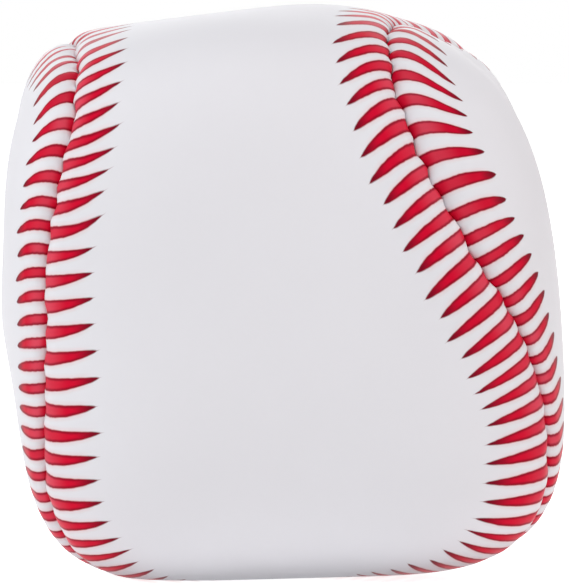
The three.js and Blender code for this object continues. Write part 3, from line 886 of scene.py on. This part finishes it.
class Needlework:
    """Stops of the threads, beside the stitch holes and between them."""

    def __init__(self, over, under):
        self.panels = {1: over, -1: under}
        seam = over.bag.seam
        self.count = over.bag.columns
        self.strand = seam.thread + THREAD_GAP
        self.run = seam.ply_gap / 2 + seam.vinyl + THREAD_GAP + seam.thread / 2
        self.loop = self.run + self.strand
        self.depth = seam.fold_depth + seam.stitch_line

    def stop(self, column, across, depth):
        """A point beside the seam, on the over panel's side where across is positive."""
        panel = self.panels[1 if across > 0 else -1]
        place = panel.place([column % self.count], np.array([[abs(across)]]), np.array([[depth]]))
        return place[0, 0].tolist()

    def between(self, column, across):
        """A point halfway to the next hole."""
        return self.stop(column + COLUMNS_PER_STITCH // 2, across, self.depth)

    def needle(self, holes):
        """The upper thread: a loop through each hole, and a run to the next."""
        stops = []
        for hole in holes:
            stops.append(self.stop(hole, self.run, self.depth - self.strand))
            stops.append(self.stop(hole, -self.loop, self.depth - self.strand))
            stops.append(self.stop(hole, -self.loop, self.depth + self.strand))
            stops.append(self.stop(hole, self.run, self.depth + self.strand))
            stops.append(self.between(hole, self.run))
        return stops

    def bobbin(self, holes):
        """The lower thread, which runs through those loops."""
        stops = []
        for hole in holes:
            stops.append(self.stop(hole, -self.run, self.depth))
            stops.append(self.between(hole, -self.run))
        return stops

    def knot(self, hole, side):
        """Tight turns at an end of the closing thread, from its tail to the hole."""
        tail, near = (
            np.array(self.stop(hole, side * (self.run + reach), self.depth)) for reach in (KNOT_LENGTH, 0))
        up = unit(np.array(self.stop(hole, side * self.run, 0)) - near)
        beside = unit(np.cross(tail - near, up))
        shares = np.linspace(0, 1, KNOT_STEPS * KNOT_TURNS + 1)[:, None]
        angles = shares * KNOT_TURNS * math.tau
        turns = (np.cos(angles) * up + np.sin(angles) * beside) * KNOT_RADIUS
        return (tail + (near - tail) * shares + turns).tolist()

    def closing(self, holes):
        """One thread through each hole in turn, from side to side, with a knot at either end."""
        stops = self.knot(holes[0], 1)
        side = 1
        for hole in holes:
            stops.append(self.stop(hole, side * self.run, self.depth))
            stops.append(self.stop(hole, -side * self.run, self.depth))
            stops.append(self.between(hole, -side * self.run))
            side = -side
        return stops[:-1] + self.knot(holes[-1], side)[::-1]


def make_path(name, stops):
    """An object of edges from stop to stop."""
    piece = make_object(name, stops, [], [])
    mesh = piece.data
    mesh.edges.add(len(stops) - 1)
    mesh.edges.foreach_set("vertices", [i for k in range(len(stops) - 1) for i in (k, k + 1)])
    mesh.update()
    return piece


def bag_of(scene):
    """The bag by the scene's sizes."""
    return Bag(scene.footbag_shape, scene.footbag_seam)


def finish_piece(piece, node):
    """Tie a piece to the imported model."""
    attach(piece, "root")
    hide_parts(node)


def cut_size(panel):
    """Width across a lobe and length along the centre line of a panel as it was cut."""
    bag = panel.bag
    seam = bag.seam
    first = bag.columns // 4 if panel.over else 0
    ends = np.array((first, first + bag.columns // 2))
    spine = panel.directions[np.arange(*ends), -1]
    points = bag.skin(spine, np.zeros(len(spine)))
    turned = seam.fold_depth + seam.allowance
    length = np.linalg.norm(np.diff(points, axis=0), axis=1).sum() + panel.length[ends].sum() + 2 * turned
    width = 2 * (panel.length.max() + turned)
    return width, length


class FOOTBAG_OT_cover(bpy.types.Operator):
    """Make the two printed vinyl panels with their folds and allowances"""
    bl_idname = "footbag.cover"
    bl_label = "Make cover"

    def execute(self, context):
        bag = bag_of(context.scene)
        sizes = context.scene.footbag_print
        backing = make_backing()
        pressed = PressedCover(bag, context.scene)
        for over, name, printed, seed in (
                (True, "over_panel", OVER_PRINT, 11),
                (False, "under_panel", UNDER_PRINT, 12)):
            panel = Panel(bag, over)
            ring = bag.skin(panel.directions[:, 0], np.zeros(bag.columns))
            seam_length = np.linalg.norm(np.roll(ring, -1, 0) - ring, axis=1).sum()
            vinyl = make_vinyl("vinyl_" + name, sizes, printed)
            piece = make_panel(
                name + "_sheet", panel, pressed, seed, printed, seam_length, (vinyl, backing))
            finish_piece(piece, name)
            width, length = cut_size(panel)
        return {"FINISHED"}


class FOOTBAG_OT_threads(bpy.types.Operator):
    """Make the machine seam's two threads and the hand-sewn closing thread"""
    bl_idname = "footbag.threads"
    bl_label = "Make threads"

    def execute(self, context):
        bag = bag_of(context.scene)
        work = Needlework(Panel(bag, True), Panel(bag, False))
        hand, machine = hole_columns(bag.seam)
        tree = thread_tree(make_thread_material())
        for node, stops in (
                ("needle_thread", work.needle(machine)),
                ("bobbin_thread", work.bobbin(machine)),
                ("closing_thread", work.closing(hand))):
            piece = make_path(node + "_twist", stops)
            grow(piece, tree, {"Diameter": bag.seam.thread, "Twist": math.tau / TWIST_LENGTH})
            finish_piece(piece, node)
        return {"FINISHED"}


def places_inside(bag, spacing, room):
    """Places of a close packing that lie at least the room inside the cover."""
    steps = np.arange(-PACKING_HALF, PACKING_HALF, spacing / math.sqrt(2))
    i, j, k = np.meshgrid(*(range(len(steps)),) * 3, indexing="ij")
    even = (i + j + k) % 2 == 0
    places = np.stack((steps[i[even]], steps[j[even]], steps[k[even]]), -1)
    depth = bag.seam.vinyl + room
    centre = bag.shift + np.array((0, 0, bag.middle_height))
    wall = bag.skin(places @ bag.lean_turn, np.full(len(places), depth)) - centre
    inside = np.linalg.norm(places, axis=1) < np.linalg.norm(wall, axis=1)
    inside &= places[:, 2] + bag.middle_height > depth
    return places[inside] + centre


def clear_of_seam(bag, places, room):
    """The places that the sewn-in edges and their threads leave free."""
    columns = np.arange(0, bag.columns, 2)
    down = np.linspace(0, bag.seam.fold_depth + bag.seam.allowance, EDGE_ROWS)
    depth = np.tile(down, (len(columns), 1))
    edge = Panel(bag, True).place(columns, np.zeros_like(depth), depth).reshape(-1, 3)
    tree = kdtree.KDTree(len(edge))
    for index, point in enumerate(edge):
        tree.insert(point, index)
    tree.balance()
    clear = bag.seam.vinyl + 3 * bag.seam.thread + room
    return [place for place in places.tolist() if tree.find(place)[2] > clear]


class FOOTBAG_OT_pellets(bpy.types.Operator):
    """Fill the bag with loose plastic pellets"""
    bl_idname = "footbag.pellets"
    bl_label = "Make pellets"

    def execute(self, context):
        bag = bag_of(context.scene)
        sizes = context.scene.footbag_pellets
        room = sizes.diameter * PELLET_REACH + sizes.jitter
        kept = clear_of_seam(bag, places_inside(bag, sizes.spacing, room), room)
        piece = make_object("pellet_fill_beads", kept, [], [])
        grow(piece, pellet_tree(make_pellet_material()), {
            "Diameter": sizes.diameter, "Jitter": sizes.jitter, "Seed": sizes.seed})
        finish_piece(piece, "pellet_fill")
        return {"FINISHED"}


def make_lamp(name, place, power, colour):
    """A soft square lamp that faces the bag."""
    light = bpy.data.lights.new(name, "AREA")
    light.size = LAMP_SIZE
    light.energy = power
    light.color = colour
    item = bpy.data.objects.new(name, light)
    item.location = place
    item.rotation_euler = (Vector(LAMP_TARGET) - Vector(place)).to_track_quat("-Z", "Y").to_euler()
    bpy.context.scene.collection.objects.link(item)


def as_background(start):
    """1 where a surface is seen directly, mirrored or through glass, 0 where it lights the bag."""
    rays = start.node("ShaderNodeLightPath", None, None, "Is Camera Ray")
    for output in ("Is Glossy Ray", "Is Transmission Ray"):
        rays = rays + start.node("ShaderNodeLightPath", None, None, output)
    return rays.math("MINIMUM", rays, 1)


def make_floor(size):
    """A pale floor that is white as background and keeps the bag's shadow."""
    material, shader, start = new_material("pale_floor")
    shader.inputs["Roughness"].default_value = 0.9
    shader.inputs["Base Color"].default_value = (0.9, 0.9, 0.9, 1)
    shader.inputs["Emission Color"].default_value = (1, 1, 1, 1)
    feed(start.tree, shader, Emission_Strength=as_background(start) * FLOOR_WHITE + FLOOR_GLOW)
    half = size / 2
    corners = [(-half, -half, 0), (half, -half, 0), (half, half, 0), (-half, half, 0)]
    floor = make_object("floor", corners, [(0, 1, 2, 3)], [material])


def make_world():
    """Even light from all round, white as background."""
    world = bpy.data.worlds.new("studio")
    bpy.context.scene.world = world
    world.use_nodes = True
    start = Wire(world.node_tree)
    background = world.node_tree.nodes["Background"]
    background.inputs["Color"].default_value = (1, 1, 1, 1)
    feed(start.tree, background, Strength=WORLD_GLOW + WORLD_WHITE * as_background(start))


class FOOTBAG_OT_stage(bpy.types.Operator):
    """Make the floor, the soft lamps and the camera"""
    bl_idname = "footbag.stage"
    bl_label = "Make stage"

    def execute(self, context):
        scene = context.scene
        sizes = scene.footbag_stage
        scene.view_settings.view_transform = "Standard"
        make_floor(sizes.floor_size)
        make_world()
        for name, place, power, colour in LAMPS:
            make_lamp(name, place, power, colour)
        camera = bpy.data.cameras.new("camera")
        camera.sensor_fit = "HORIZONTAL"
        camera.lens = camera.sensor_width * sizes.pixels_per_mm * sizes.distance / MM / IMAGE_WIDTH
        camera.clip_start = 0.01
        item = bpy.data.objects.new("camera", camera)
        target = Vector(sizes.target)
        back = Vector((0, -math.cos(sizes.elevation), math.sin(sizes.elevation)))
        item.location = target + back * sizes.distance
        item.rotation_euler = (-back).to_track_quat("-Z", "Y").to_euler()
        scene.collection.objects.link(item)
        scene.camera = item
        return {"FINISHED"}


class FOOTBAG_PT_panel(bpy.types.Panel):
    """Footbag's sizes and steps"""
    bl_label = "Footbag"
    bl_idname = "FOOTBAG_PT_panel"
    bl_space_type = "VIEW_3D"
    bl_region_type = "UI"
    bl_category = "Footbag"

    def draw(self, context):
        layout = self.layout
        for operator in OPERATORS:
            layout.operator(operator.bl_idname)
        for name, group in GROUPS.items():
            box = layout.box()
            for size in group.__annotations__:
                box.prop(getattr(context.scene, name), size)


OPERATORS = (FOOTBAG_OT_stage, FOOTBAG_OT_cover, FOOTBAG_OT_threads, FOOTBAG_OT_pellets)
GROUPS = {
    "footbag_shape": BagShape,
    "footbag_seam": SeamSizes,
    "footbag_print": PrintSizes,
    "footbag_pellets": PelletSizes,
    "footbag_stage": StageSizes,
}


def register():
    for name, group in GROUPS.items():
        bpy.utils.register_class(group)
        setattr(bpy.types.Scene, name, bpy.props.PointerProperty(type=group))
    for kind in (*OPERATORS, FOOTBAG_PT_panel):
        bpy.utils.register_class(kind)


def unregister():
    for kind in (FOOTBAG_PT_panel, *reversed(OPERATORS)):
        bpy.utils.unregister_class(kind)
    for name, group in GROUPS.items():
        delattr(bpy.types.Scene, name)
        bpy.utils.unregister_class(group)


def main():
    register()
    bpy.ops.footbag.stage()
    bpy.ops.footbag.cover()
    bpy.ops.footbag.threads()
    bpy.ops.footbag.pellets()


if __name__ == "__main__":
    main()
